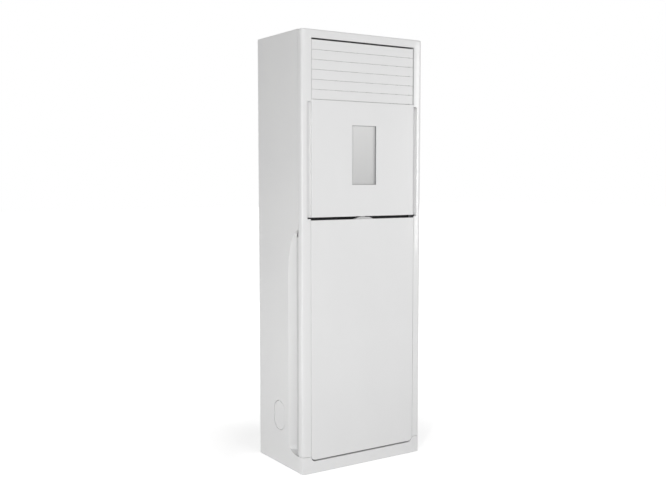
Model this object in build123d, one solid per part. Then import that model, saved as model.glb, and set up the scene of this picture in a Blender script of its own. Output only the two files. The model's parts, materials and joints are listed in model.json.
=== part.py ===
from build123d import *
import os
from math import atan2, cos, degrees, hypot, radians, sin, sqrt

# Floor standing air conditioner, indoor cabinet. Millimetres, +Z up, front face towards -Y.
# The origin is on the floor, under the middle of the cabinet.

# ---- whole cabinet ----
height = 1850.0
width = 620.0
depth = 375.0
sheet = 1.2               # painted steel sheet
moulding = 2.5            # wall of the plastic mouldings
seat = 0.3                # gap left where one piece rests on or in another
pin_play = 0.1            # radial play of a pin in its hole

# ---- rounded front corners, in plan ----
strip_edge = 41.0         # corner strip's inner edge, in from the side
strip_step = 0.8          # corner strip's inner edge, behind the front face
corner_pull_x = 5.0       # how far in from the side the front starts to turn
corner_pull_y = 5.0       # how far behind the front the side starts to turn
corner_run = 16.0         # where the corner has become the side
strip_end = 33.0          # rear edge of the corner strip
side_joint = 1.4          # visible line between corner strip and side panel

# ---- levels up the front ----
skirt_top = 51.0          # middle of the base skirt
corner_top = 73.0         # raised corners of the base skirt
panel_bottom = 57.5
finger_gap = 12.0         # dark slot over the lower panel
middle_tall = 485.0       # middle panel, from the finger gap to the outlet
header_tall = 34.8        # front frame over the outlet
louver_count = 6
louver_pitch = 40.2
louver_top_gap = 6.0

# ---- display window ----
window_width = 125.0
window_rise = 134.0       # over the middle panel's lower edge
window_height = 250.0
window_sink = 10.0

# ---- side intake scoop ----
scoop_bottom = 71.0
scoop_low = 105.0         # full size from here
scoop_taper = 190.0       # narrowing top end
scoop_over_deck = 16.0
scoop_rear = 119.0        # where the scoop meets the flat side, behind the front
scoop_sink = 28.0         # how far in its deep edge lies
scoop_mouth = 93.0        # deep edge, behind the front

# ---- fan ----
fan_height = 560.0
wheel_radius = 185.0
wheel_inner = 150.0
wheel_width = 122.0
blade_count = 36
scroll_start = 200.0
scroll_end = 275.0
scroll_depth = 168.0
scroll_rear = 37.5        # from the scroll's back wall to the cabinet's back
scroll_wall = 1.5
tongue_angle = 100.0
neck_left = -230.0

# ---- inner cabinet ----
deck_drop = 57.0          # deck under the lower panel's top edge
coil_side = 50.0          # coil's end, in from the side
coil_thickness = 58.0
coil_front = 92.5         # coil's foot, behind the front
coil_rear = 62.5          # coil's head, before the back
coil_rise = 71.0          # coil's foot over the deck
coil_drop = 240.2         # coil's head under the outlet's top

# ---- louver drive ----
louver_chord = 39.4
louver_pivot = 9.0        # behind the front face
crank_length = 30.0
crank_rest = -33.0        # degrees above straight back, louvers closed
louver_travel = 80.0      # degrees from closed to fully open
drive_offset = 30.0       # drive crank's shaft, behind the louver pivots

# ---- upright vanes ----
vane_count = 6
vane_margin = 64.5        # outer vanes, in from the outlet's sides
vane_chord = 56.0
vane_pivot = 78.0         # behind the front face
vane_crank = 22.0

front = -depth / 2
back = depth / 2
half = width / 2
opening_half = half - 45.5
outlet_top = height - header_tall
outlet_bottom = outlet_top - louver_count * louver_pitch - louver_top_gap
gap_top = outlet_bottom - middle_tall
panel_top = gap_top - finger_gap
window_bottom = gap_top + window_rise
deck_height = panel_top - deck_drop
scoop_tip = deck_height + scoop_over_deck
scoop_high = scoop_tip - scoop_taper
scroll_front = depth - scroll_rear - scroll_depth
coil_half = half - coil_side
coil_foot = (front + coil_front, deck_height + coil_rise)
coil_head = (back - coil_rear, outlet_top - coil_drop)
vane_pitch = 2 * (opening_half - vane_margin) / (vane_count - 1)
gas_pipe_y = coil_foot[0] + 40.0
liquid_pipe_y = coil_foot[0] + 80.0
pipe_x = 34.0 - half
drain_x = 25.0 - coil_half
drain_y = coil_foot[0] + 25.0
side_inner = half - sheet
back_plate = back - 3.0
inner_back = back_plate - 2 * sheet - seat


# ---- shared shapes ----
def behind(distance):
    """Y of a plane this far behind the front face."""
    return front + distance


def block(x0, x1, y0, y1, z0, z1):
    return Pos((x0 + x1) / 2, (y0 + y1) / 2, (z0 + z1) / 2) * Box(x1 - x0, y1 - y0, z1 - z0)


def rod_x(x0, x1, y, z, radius):
    return Pos((x0 + x1) / 2, y, z) * Rot(0, 90, 0) * Cylinder(radius, x1 - x0)


def rod_y(y0, y1, x, z, radius):
    return Pos(x, (y0 + y1) / 2, z) * Rot(90, 0, 0) * Cylinder(radius, y1 - y0)


def rod_z(z0, z1, x, y, radius):
    return Pos(x, y, (z0 + z1) / 2) * Cylinder(radius, z1 - z0)


def plan_prism(points, z0, z1):
    """Prism on a polygon seen from above."""
    face = make_face(Polyline(*points, close=True))
    return Pos(0, 0, z0) * extrude(face, amount=z1 - z0, dir=(0, 0, 1))


def front_prism(face, y0, y1):
    """Prism on a face drawn as seen from the front (X across, Z up)."""
    return extrude(Pos(0, y0, 0) * Rot(90, 0, 0) * face, amount=y1 - y0, dir=(0, 1, 0))


def side_prism(face, x0, x1):
    """Prism on a face drawn as seen along X (Y across, Z up)."""
    return extrude(Pos(x0, 0, 0) * (Plane.YZ * face), amount=x1 - x0, dir=(1, 0, 0))


def rectangle(x0, x1, z0, z1):
    return Pos((x0 + x1) / 2, (z0 + z1) / 2) * Rectangle(x1 - x0, z1 - z0)


def soft_rectangle(x0, x1, z0, z1, low_radius, high_radius):
    """Rectangle with one radius for its two lower corners and one for the upper two."""
    face = rectangle(x0, x1, z0, z1)
    corners = face.vertices().sort_by(Axis.Y)
    face = fillet(corners[:2], low_radius)
    return fillet(face.vertices().sort_by(Axis.Y)[-2:], high_radius)


def both_sides(piece):
    """A piece on the right side, joined with its mirror image on the left."""
    return piece + mirror(piece, Plane.YZ)


def write(name, shape):
    export_step(shape, f"parts/{name}.step")


# ---- front corners in plan ----
def corner_curve(inset):
    """Rounded right front corner, from the front to the side, set in by a wall."""
    return Bezier(
        (half - strip_edge, behind(strip_step + inset)),
        (half - corner_pull_x - inset / 2, behind(strip_step + inset + 1.2)),
        (half - inset, behind(corner_pull_y + inset / 2)),
        (half - inset, behind(corner_run)),
    )


def corner_wall(z0, z1, reach):
    """Wall that follows the right front corner and runs back along the side."""
    outer = corner_curve(0)
    inner = corner_curve(moulding)
    side = half - moulding
    edges = [
        outer,
        Line(outer @ 1, (half, behind(reach))),
        Line((half, behind(reach)), (side, behind(reach))),
        Line((side, behind(reach)), inner @ 1),
        inner,
        Line(inner @ 0, outer @ 0),
    ]
    return Pos(0, 0, z0) * extrude(make_face(edges), amount=z1 - z0, dir=(0, 0, 1))


def corner_fill(reach):
    """Plan of the whole front, between both rounded corners, back to a straight rear edge."""
    right = corner_curve(0)
    left = mirror(right, Plane.YZ)
    edges = [
        right,
        Line(right @ 1, (half, behind(reach))),
        Line((half, behind(reach)), (-half, behind(reach))),
        Line((-half, behind(reach)), left @ 1),
        left,
        Line(left @ 0, right @ 0),
    ]
    return make_face(edges)


# ---- base ----
skirt_reach = 40.0
trough_radius = 24.0
hinge_height = 64.0
hinge_behind = 8.0
hinge_radius = 3.5
lower_half = half - strip_edge - 1.5
hinge_pin_start = lower_half - 17.5
hinge_pin_end = lower_half + 4.5
pan_sheet = 1.5
pan_wall = 28.0
anchor_x = 220.0
anchor_y = 120.0
anchor_radius = 5.5
port_margin = 22.0        # pipe port's edge, outside the pipes' centre lines
port_corner = 20.0


def trough(grow):
    """Front view of the space the lower panel stands in, between the raised corners."""
    across = half - strip_edge + grow
    return soft_rectangle(-across, across, skirt_top - grow, corner_top + 40, trough_radius + grow, 5)


def base_skirt():
    ledge_depth = 16.0
    wall = both_sides(corner_wall(0, corner_top, skirt_reach))
    across = half - strip_edge
    wall += block(-across, across, behind(strip_step), behind(strip_step + moulding), 0, corner_top)
    lip = front_prism(trough(moulding), behind(strip_step), behind(ledge_depth))
    lip &= block(-half, half, front, back, 0, corner_top)
    shelf = extrude(corner_fill(skirt_reach), amount=moulding, dir=(0, 0, 1))
    shelf = Pos(0, 0, corner_top - moulding) * shelf
    shelf -= block(-across - 2 * moulding, across + 2 * moulding, behind(ledge_depth), behind(80), 0, height)
    skirt = wall + lip + shelf
    skirt -= front_prism(trough(0), front - 1, behind(80))
    skirt -= rod_x(-half, half, behind(hinge_behind), hinge_height, hinge_radius + pin_play) & (
        block(-hinge_pin_end - 2, hinge_pin_end + 2, front, back, 0, height))
    return skirt


def base_pan():
    """Floor tray with its anchor holes and the bottom port under the pipe and drain ends."""
    pan_half = side_inner - seat - 0.1
    pan_front = behind(skirt_reach + 1)
    pan = block(-pan_half, pan_half, pan_front, inner_back, 0, pan_wall)
    pan -= block(-pan_half + pan_sheet, pan_half - pan_sheet, pan_front + pan_sheet,
                 inner_back - pan_sheet, pan_sheet, pan_wall + 1)
    for x in (-anchor_x, anchor_x):
        for y in (-anchor_y, anchor_y):
            pan -= rod_z(-1, pan_sheet + 1, x, y, anchor_radius)
    x0, x1 = pipe_x - port_margin, drain_x + port_margin
    y0, y1 = drain_y - port_margin, liquid_pipe_y + port_margin
    port = soft_rectangle(x0, x1, y0, y1, port_corner, port_corner)
    return pan - Pos(0, 0, -1) * extrude(port, amount=pan_sheet + 2, dir=(0, 0, 1))


# ---- side panels and their intake scoop ----
def scoop_scale(z):
    """Size of the scoop at a height, as a share of its full size."""
    if z < scoop_low:
        return sqrt(max(0.0, 1 - ((scoop_low - z) / (scoop_low - scoop_bottom + 1)) ** 2))
    if z > scoop_high:
        return sqrt(max(0.0, 1 - ((z - scoop_high) / (scoop_tip - scoop_high + 1)) ** 2))
    return 1.0


def scoop_levels():
    """Heights at which the scoop changes shape, closer together towards its ends."""
    low = [scoop_low - (scoop_low - scoop_bottom) * sin(radians(a)) for a in (90, 60, 30, 0)]
    high = [scoop_high + (scoop_tip - scoop_high) * sin(radians(a)) for a in (0, 22.5, 45, 67.5, 90)]
    return low + high


scoop_origin = strip_end + side_joint


def scoop_point(z, across, along):
    """A point of the scoop at a height: across is in from the side, along is behind the front."""
    k = scoop_scale(z)
    return Vector(half - across * k, behind(scoop_origin + (along - scoop_origin) * k), z)


def scoop_wall():
    """Slanted sheet from the flat side down to the scoop's deep edge."""
    slope = Vector(scoop_sink, scoop_mouth - scoop_rear).normalized()
    inward = Vector(-slope.Y, slope.X) * sheet
    sections = []
    for z in scoop_levels():
        rear = scoop_point(z, 0, scoop_rear)
        deep = scoop_point(z, scoop_sink, scoop_mouth)
        shift = Vector(-inward.X, inward.Y, 0)
        side_shift = Vector(0, sheet / (inward.Y / sheet), 0)
        corners = [rear, deep, deep + shift, rear + side_shift]
        sections.append(make_face(Polyline(*[(p.X, p.Y, p.Z) for p in corners], close=True)))
    return loft(sections, ruled=True)


knock_behind = 198.0
knock_height = 215.0
knock_width = 96.0
knock_tall = 130.0
knock_slot = 1.6
knock_shift = 0.7         # the slot is this much wider at the rear and narrower in front
knock_web = 6.0


def knock_out(x0, x1):
    """Slots round an obround pipe knock-out, with four webs left to hold it."""
    def outline(grow, shift):
        face = SlotOverall(knock_tall + 2 * grow, knock_width + 2 * grow, rotation=90)
        return side_prism(Pos(behind(knock_behind - shift), knock_height) * face, x0, x1)
    ring = outline(0, 0) - outline(-knock_slot, knock_shift)
    y, reach = behind(knock_behind), knock_tall
    ring -= block(x0, x1, y - reach, y + reach, knock_height - knock_web / 2, knock_height + knock_web / 2)
    ring -= block(x0, x1, y - knock_web / 2, y + knock_web / 2, knock_height - reach, knock_height + reach)
    return ring


rear_flange = 12.0
screw_hole = 2.2
screw_count = 6
screw_low = 60.0
screw_drop = 90.0         # top screw under the cabinet's top
screw_pitch = (height - screw_drop - screw_low) / (screw_count - 1)
screw_levels = [screw_low + screw_pitch * i for i in range(screw_count)]
screw_x = side_inner - rear_flange / 2


def side_panel():
    """Right side panel: flat sheet, rear flange, scoop and pipe knock-out."""
    top = height - sheet - seat
    outline = [(behind(scoop_origin), top), (back, top), (back, 3.0)]
    outline += [(behind(skirt_reach + 1), 3.0), (behind(skirt_reach + 1), scoop_bottom)]
    outline += [(scoop_point(z, 0, scoop_rear).Y, z) for z in scoop_levels()]
    outline += [(behind(scoop_origin), scoop_tip + 2)]
    panel = side_prism(make_face(Polyline(*outline, close=True)), side_inner, half)
    panel += scoop_wall() & block(0, half, front, back, 0, height)
    panel -= knock_out(side_inner - 1, half + 1)
    flange_back = back_plate - sheet - seat / 2
    panel += block(side_inner - rear_flange, side_inner, flange_back - sheet, flange_back, 3.0, top)
    for z in screw_levels:
        panel -= rod_y(flange_back - 3, flange_back + 1, screw_x, z, screw_hole)
    return panel


# ---- back and top ----
bead_height = 3.0
gland_x = 200.0
gland_height = 120.0
gland_radius = 14.0
bracket_spacing = 240.0
bracket_drop = 50.0       # bracket holes under the cabinet's top
bracket_height = height - bracket_drop
bead_x = 120.0
bracket_radius = 3.0


def back_panel():
    half_across = side_inner - seat
    panel = block(-half_across, half_across, back_plate - sheet, back_plate, 3.0, height - sheet - seat)
    for x in (-bead_x, bead_x):
        for z0, z1 in ((300, deck_height - 74), (deck_height + 66, height - 110)):
            bead = soft_rectangle(x - 20, x + 20, z0, z1, 8, 8)
            inner = soft_rectangle(x - 20 + sheet, x + 20 - sheet, z0 + sheet, z1 - sheet, 6.8, 6.8)
            panel += front_prism(bead, back_plate - bead_height, back_plate - sheet / 2)
            panel -= front_prism(inner, back_plate - bead_height + sheet, back_plate + 1)
    panel -= rod_y(back_plate - 3, back_plate + 1, gland_x, gland_height, gland_radius)
    for x in (-bracket_spacing / 2, bracket_spacing / 2):
        panel -= rod_y(back_plate - 9, back_plate + 1, x, bracket_height, bracket_radius)
    for x in (-screw_x, screw_x):
        for z in screw_levels:
            panel -= rod_y(back_plate - 3, back_plate + 1, x, z, screw_hole)
    return panel


def top_cover():
    cover = block(-half, half, behind(strip_end + 1), back, height - sheet, height)
    flange_out = side_inner - seat
    for x0 in (-flange_out, flange_out - sheet):
        cover += block(x0, x0 + sheet, behind(60), back - 20, height - 14, height - sheet)
    return cover


def cabinet_screws():
    """Pan head screws that hold the back panel, one solid each."""
    profile = Polyline((0, 0), (1.9, 0), (1.9, 3.3), (4.0, 3.3), (3.4, 5.2), (0, 5.6), close=True)
    screw = revolve(Plane.XZ * make_face(profile), Axis.Z)
    screws = []
    for x in (-screw_x, screw_x):
        for z in screw_levels:
            screws.append(Pos(x, back_plate - 3.3 + 0.1, z) * Rot(-90, 0, 0) * screw)
    return Compound(children=screws)


def cable_grommet():
    """Rubber ring round the cable hole in the back panel."""
    groove = gland_radius - 0.2
    y = back_plate - sheet
    profile = Polyline((8, -3.5), (17, -3.5), (18, -0.2), (groove, -0.2), (groove, sheet + 0.2),
                       (18, sheet + 0.2), (17, sheet + 2.6), (8, sheet + 2.6), close=True)
    ring = revolve(Plane.XZ * make_face(profile), Axis.Z)
    return Pos(gland_x, y, gland_height) * Rot(-90, 0, 0) * ring


# ---- front frame ----
wing_edge = 26.0          # outer edge of the middle panel, in from the side
channel_top = outlet_bottom - 11.0
frame_bottom = corner_top + 1.4
frame_lip = 16.0          # rear edge of the frame's inner walls
end_round = 8.0           # upper ends of the side channels
cap_thick = 4.0
cap_round = 6.0           # rounding along the frame's upper edge


def front_frame():
    """Corner strips, header and cap in one moulding, rounded along its upper edge."""
    strip = corner_wall(frame_bottom, height - 0.5, strip_end)
    edge, wing = half - strip_edge, half - wing_edge
    strip += block(edge, edge + 2, behind(strip_step + 1), behind(frame_lip), frame_bottom, panel_top)
    channel = soft_rectangle(-wing, wing, gap_top - 6, channel_top, 1, end_round)
    strip -= front_prism(channel, front - 1, behind(frame_lip + 1))
    wall_back = behind(strip_step + moulding)
    strip += block(wing, wing + 2, wall_back, behind(frame_lip), gap_top - 6, channel_top)
    y0, y1 = behind(strip_step), wall_back
    strip += block(opening_half, edge, y0, y1, channel_top, height - 0.5)
    frame = both_sides(strip)
    frame += block(-opening_half, opening_half, y0, y1, outlet_top, height - 0.5)
    cap = extrude(corner_fill(strip_end), amount=cap_thick, dir=(0, 0, 1))
    frame += Pos(0, 0, height - cap_thick) * cap
    top = frame.faces().sort_by(Axis.Z)[-1]
    return fillet([e for e in top.edges() if e.center().Y < behind(strip_end) - 0.5], cap_round)


# ---- middle panel and display ----
plateau_half = opening_half - 0.7
plateau_top = outlet_bottom - 1.0
channel_sink = 12.0
panel_reach = 15.0        # rear edge of the middle panel
foot_reach = 9.0          # rear edge of its lower rim, in front of the latch stem
plate_behind = 34.0       # chamber front plate
duct_front = 3.6
duct_wall = 2.2
duct_floor = outlet_bottom - 0.6
post_x = opening_half - 24.5
post_levels = (gap_top + 37, plateau_top - 47)


def display_panel():
    floor_bottom = duct_floor - duct_wall
    face = soft_rectangle(-plateau_half, plateau_half, gap_top, plateau_top, 2, 2)
    panel = front_prism(face, front, behind(panel_reach))
    panel = fillet(panel.faces().sort_by(Axis.Y)[0].edges(), 1.2)
    across = half - wing_edge - 0.4
    wings = soft_rectangle(-across, across, gap_top, channel_top - 0.4, 1, end_round)
    panel += front_prism(wings, behind(channel_sink), behind(panel_reach))
    inner = plateau_half - moulding
    panel -= block(-inner, inner, behind(moulding), back, gap_top + moulding, floor_bottom - moulding - 0.3)
    panel -= block(-inner, inner, behind(foot_reach), back, gap_top - 1, gap_top + moulding + 0.1)
    panel -= block(-half, half, behind(duct_front - 0.3), back, floor_bottom - 0.3, height)
    recess = window_width / 2 + 2
    low, high = window_bottom - 2, window_bottom + window_height + 2
    panel += block(-recess, recess, behind(moulding), behind(window_sink + 2), low, high)
    panel -= block(-window_width / 2, window_width / 2, front - 1, back, window_bottom,
                   window_bottom + window_height)
    for x in (-post_x, post_x):
        for z in post_levels:
            panel += rod_y(behind(moulding - 0.5), behind(plate_behind - seat), x, z, 5)
    return panel


def display_window():
    play = 0.2
    face = soft_rectangle(-window_width / 2 + play, window_width / 2 - play, window_bottom + play,
                          window_bottom + window_height - play, 1, 1)
    return front_prism(face, behind(window_sink - 0.3), behind(window_sink + 1.7))


def display_box():
    """Open tray behind the window; its posts carry the display board."""
    wall = 2.0
    x, low, high = 72.0, window_bottom - 12, window_bottom + window_height + 12
    y0, y1 = behind(window_sink + 2.3), behind(plate_behind - seat)
    tray = block(-x, x, y0, y1, low, high)
    tray -= block(-x + wall, x - wall, y0 - 1, y1 - wall, low + wall, high - wall)
    for px in (-50, 50):
        for pz in (low + 25, high - 25):
            tray += rod_y(behind(18.3), y1 - wall + 0.5, px, pz, 3.5)
    return tray


def display_board():
    low, high = window_bottom - 2, window_bottom + window_height + 2
    board = block(-58, 58, behind(16.4), behind(18.0), low, high)
    for z in (window_bottom + 60, window_bottom + 125, window_bottom + 190):
        board += block(-30, 30, behind(14.6), behind(16.4), z - 14, z + 14)
    board += block(-20, 20, behind(18.0), behind(24.0), window_bottom + 20, window_bottom + 32)
    return board


def chamber_front_plate():
    y0 = behind(plate_behind)
    low, high = deck_height + sheet + seat, duct_floor - duct_wall - seat
    across = side_inner - 3.8
    plate = block(-across, across, y0, y0 + sheet, low, high)
    plate += block(-across + 5, across - 5, y0, behind(50), low, low + sheet)
    plate += block(-opening_half, opening_half, y0, behind(60), high - sheet, high)
    for x in (-post_x, post_x):
        for z in post_levels:
            plate -= rod_y(y0 - 1, y0 + 5, x, z, 2)
    return plate


# ---- lower panel and its latch ----
rim = 12.0
rib_x = lower_half - 137.5
latch_top = 54.0          # width of the tab's upper edge
latch_foot = 100.0        # width of its lower edge
latch_travel = 3.5
latch_seat = 0.4
latch_tab = finger_gap - latch_travel - 0.1 - latch_seat


def lower_panel():
    """Front door of the lower chamber: shell, stiffening ribs and bottom hinge pins."""
    outline = soft_rectangle(-lower_half, lower_half, panel_bottom, panel_top, 20, 4)
    shell = front_prism(outline, front, behind(rim))
    shell = fillet(shell.faces().sort_by(Axis.Y)[0].edges(), 2.0)
    inner = soft_rectangle(-lower_half + moulding, lower_half - moulding, panel_bottom + moulding,
                           panel_top - moulding, 17.5, 1.5)
    shell -= front_prism(inner, behind(moulding), behind(rim + 1))
    rib = 1.8
    for x in (-rib_x, rib_x):
        shell += block(x - rib / 2, x + rib / 2, behind(moulding), behind(9), panel_bottom + 2, panel_top - 2)
    for i in range(1, 6):
        z = panel_bottom + (panel_top - panel_bottom) * i / 6
        shell += block(-lower_half + 2, lower_half - 2, behind(moulding), behind(9), z - rib / 2, z + rib / 2)
    pin = block(hinge_pin_start - 8, hinge_pin_start, behind(moulding), behind(rim),
                hinge_height - 5, hinge_height + 6)
    pin += rod_x(hinge_pin_start - 1, hinge_pin_end, behind(hinge_behind), hinge_height, hinge_radius)
    return shell + both_sides(pin)


latch_stem = (11.0, 17.0)


def panel_latch():
    """Low tab in the slot, wider at its foot, with the stem that slides in the housing."""
    low, high = panel_top + latch_seat, panel_top + latch_seat + latch_tab
    y0, y1 = latch_stem
    outline = [(-latch_foot / 2, low), (latch_foot / 2, low), (latch_top / 2, high), (-latch_top / 2, high)]
    tab = front_prism(make_face(Polyline(*outline, close=True)), behind(2.0), behind(y1))
    stem = block(-12, 12, behind(y0), behind(y1), high - 1, gap_top + 18)
    return tab + stem


def latch_housing():
    """Block behind the middle panel's lower rim that guides the latch stem."""
    y0, y1 = latch_stem
    outer = latch_top / 2 + 2
    body = block(-outer, outer, behind(9.4), behind(plate_behind - seat), gap_top + 3.2, gap_top + 26)
    slot = block(-12.3, 12.3, behind(y0 - 0.3), behind(y1 + 0.3), gap_top, gap_top + 22.5)
    window = block(-outer + 4, -12.3 - 4, behind(20), behind(40), gap_top + 6, gap_top + 23)
    return body - slot - both_sides(window)


# ---- side intake grille and filter ----
filter_in = 33.0          # filter frame, in from the side
filter_thick = 5.0
filter_near = 30.0        # behind the front
filter_far = 96.0
filter_low = 98.0
filter_lift = 28.0
filter_tall = deck_height - 31 - filter_low
tie_pitch = 104.0
tie_thick = 2.0
blade_shares = (0.2, 0.45, 0.7)  # upright blades, from the corner strip to the scoop's deep edge
blade_width = 11.0
blade_thick = 1.6


def intake_grille():
    """Right intake grille: outer lip, upright blades, ties, and the channels that guide the filter."""
    def across(inset):
        return half - inset
    lip_low, lip_high = scoop_bottom + 6, scoop_tip - 30
    grille = block(across(3.0), across(0.3), behind(scoop_origin), behind(44), lip_low, lip_high)
    channel_low, channel_high = filter_low - 6, filter_low + filter_tall + filter_lift
    for near, far in ((filter_near - 3, filter_near + 5), (filter_far - 5, filter_far + 3)):
        for inset in (filter_in - 2.5, filter_in + filter_thick + 0.5):
            grille += block(across(inset + 2), across(inset), behind(near), behind(far),
                            channel_low, channel_high)
    inner, outer = filter_in - 2.5, filter_in + filter_thick + 2.5
    for near, far, high in ((filter_near - 3, filter_near - 1, channel_high),
                            (filter_far + 1, filter_far + 3, channel_high),
                            (filter_near - 3, filter_far + 3, filter_low)):
        grille += block(across(outer), across(inner), behind(near), behind(far), channel_low, high)
    z = filter_low
    while z < scoop_tip - 70:
        tip = scoop_point(z + tie_thick, scoop_sink - 1.0, scoop_mouth - 2.6)
        tie = [(across(2.5), behind(35)), (across(2.5), behind(44)), (tip.X, tip.Y)]
        tie += [(across(inner + 0.5), tip.Y), (across(inner + 0.5), behind(filter_near))]
        tie += [(across(8), behind(35))]
        grille += plan_prism(tie, z, z + tie_thick)
        z += tie_pitch
    lip_edge = Vector(across(2.5), behind(44))
    deep_edge = Vector(across(scoop_sink - 1.0), behind(scoop_mouth - 2.6))
    lean = Vector(scoop_sink, scoop_rear - scoop_mouth).normalized()
    for share in blade_shares:
        room = share + 0.2
        top = min(lip_high, scoop_high + (scoop_tip - scoop_high) * sqrt(1 - room ** 2))
        outer_end = lip_edge + (deep_edge - lip_edge) * share + lean * 2
        inner_end = outer_end - lean * blade_width
        side = Vector(-lean.Y, lean.X) * blade_thick / 2
        corners = [outer_end + side, outer_end - side, inner_end - side, inner_end + side]
        grille += plan_prism([(c.X, c.Y) for c in corners], filter_low, top)
    return grille


def air_filter():
    """Right filter: ribbed frame round a thin net."""
    x0, x1 = half - filter_in - filter_thick, half - filter_in
    y0, y1 = behind(filter_near), behind(filter_far)
    z0, z1 = filter_low + 0.2, filter_low + filter_tall
    border = 5.0
    frame = block(x0, x1, y0, y1, z0, z1)
    frame -= block(x0 - 1, x1 + 1, y0 + border, y1 - border, z0 + border, z1 - border)
    middle = (x0 + x1) / 2
    frame += block(middle - 0.4, middle + 0.4, y0 + 1, y1 - 1, z0 + 1, z1 - 1)
    bars = 9
    for i in range(1, bars + 1):
        z = z0 + (z1 - z0) * i / (bars + 1)
        frame += block(x0 + 0.8, x1 - 0.8, y0 + 1, y1 - 1, z - 1.2, z + 1.2)
    frame += block(x0 - 6, x0 + 1, (y0 + y1) / 2 - 14, (y0 + y1) / 2 + 14, z1 - 8, z1 - 4)
    return frame


# ---- fan ----
def scroll_radius(angle, inset):
    share = (angle - tongue_angle) / (360 - tongue_angle)
    return scroll_start + (scroll_end - scroll_start) * share - inset


def scroll_outline(inset, top):
    """Front view of the scroll: a spiral from the tongue round to the upright neck."""
    steps = 12
    points = []
    for i in range(steps + 1):
        angle = tongue_angle + (360 - tongue_angle) * i / steps
        r = scroll_radius(angle, inset)
        points.append((r * cos(radians(angle)), fan_height + r * sin(radians(angle))))
    spiral = Spline(*points, tangents=[(-1, -0.05), (0.05, 1)])
    right = points[-1][0]
    tongue = points[0]
    left = neck_left + inset * 1.3
    edges = [spiral, Line(points[-1], (right, top)), Line((right, top), (left, top))]
    return make_face(edges + [Line((left, top), tongue)])


def scroll_housing():
    top = deck_height - seat
    y0 = behind(scroll_front)
    y1 = y0 + scroll_depth
    housing = front_prism(scroll_outline(0, top), y0, y1)
    housing -= front_prism(scroll_outline(scroll_wall, top + 1), y0 - 1, y1 - scroll_wall)
    return housing


ring_radius = 142.0


def inlet_ring():
    """Front plate of the scroll with its bell mouth."""
    y1 = behind(scroll_front) - seat
    plate = front_prism(scroll_outline(0, deck_height - seat), y1 - scroll_wall, y1)
    plate -= rod_y(y1 - 5, y1 + 5, 0, fan_height, ring_radius + 22)
    lip, mouth = 22.0, ring_radius + 23
    outer = [(ring_radius, lip), (ring_radius + 0.6, lip - 8), (ring_radius + 5, 8), (mouth, 0)]
    wall = scroll_wall
    inner = [(mouth, -wall), (ring_radius + 4, 8 - wall * 2.2), (ring_radius - wall + 0.6, lip - 9)]
    inner += [(ring_radius - wall, lip)]
    edges = [Spline(*outer), Line(outer[-1], inner[0]), Spline(*inner), Line(inner[-1], outer[0])]
    bell = revolve(Plane.XZ * make_face(edges), Axis.Z)
    bell = Pos(0, y1, fan_height) * Rot(-90, 0, 0) * bell
    return plate + bell


def fan_blade():
    """One forward curved blade, at the top of the wheel, seen from the front."""
    lean, bow, thick = radians(9), radians(1.2), 1.6
    def at(radius, angle):
        return (radius * sin(angle), radius * cos(angle))
    middle = (wheel_inner + wheel_radius) / 2
    root, tip = wheel_inner + 0.5, wheel_radius - 0.5
    turn = thick / middle
    near = ThreePointArc(at(root, 0), at(middle, -lean / 2 + bow), at(tip, -lean))
    far = ThreePointArc(at(root, turn), at(middle, -lean / 2 + bow + turn), at(tip, -lean + turn))
    return make_face([near, Line(near @ 1, far @ 1), far, Line(far @ 0, near @ 0)])


wheel_front = behind(scroll_front) + 16.0
motor_front = wheel_front + 60.0
shaft_radius = 7.0


def fan_wheel():
    """Forward curved wheel: blades between a front ring and a dished back disc."""
    faces = Sketch() + [Rot(0, 0, 360 / blade_count * i) * fan_blade() for i in range(blade_count)]
    blades = extrude(faces, amount=wheel_width - 3, dir=(0, 0, 1))
    wheel = Pos(0, 0, 1.5) * blades
    ring = Pos(0, 0, 1.5) * (Cylinder(wheel_radius, 3) - Cylinder(wheel_inner, 4))
    profile = Polyline(
        (shaft_radius + pin_play, 24), (17, 24), (19, 44), (80, 46), (wheel_inner, wheel_width - 6),
        (wheel_radius, wheel_width - 3), (wheel_radius, wheel_width), (wheel_inner - 1, wheel_width - 1),
        (79, 49), (17, 50), (shaft_radius + pin_play, 50), close=True)
    disc = revolve(Plane.XZ * make_face(profile), Axis.Z)
    wheel = wheel + ring + disc
    return Pos(0, wheel_front, fan_height) * Rot(-90, 0, 0) * wheel


shaft_reach = 36.0        # shaft in front of the motor can
motor_radius = 62.0
motor_length = 78.0


def fan_motor():
    """Motor can with end bells, shaft and three mounting ears."""
    r = motor_radius
    profile = Polyline(
        (0, -shaft_reach), (shaft_radius, -shaft_reach), (shaft_radius, -6), (18, -6), (20, 0),
        (r - 14, 0), (r - 4, 6), (r, 14), (r, motor_length - 12), (r - 5, motor_length - 4),
        (r - 16, motor_length), (0, motor_length), close=True)
    body = revolve(Plane.XZ * make_face(profile), Axis.Z)
    for i in range(3):
        ear = Pos(r + 8, 0, motor_length - 14) * Box(26, 16, 4)
        body += Rot(0, 0, 120 * i + 90) * ear
    return Pos(0, motor_front, fan_height) * Rot(-90, 0, 0) * body


def motor_mount():
    """Spider on the scroll's back wall that carries the motor's ears."""
    back_wall = behind(scroll_front) + scroll_depth - scroll_wall - seat
    seat_y = motor_front + motor_length - 12 + seat
    mount = rod_y(back_wall - 3, back_wall, 0, fan_height, motor_radius + 42)
    mount -= rod_y(back_wall - 4, back_wall + 1, 0, fan_height, motor_radius + 4)
    for i in range(3):
        post = rod_y(seat_y, back_wall - 1, 0, fan_height + motor_radius + 15, 7)
        mount += Pos(0, 0, fan_height) * Rot(0, 120 * i + 180, 0) * Pos(0, 0, -fan_height) * post
    return mount


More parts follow.
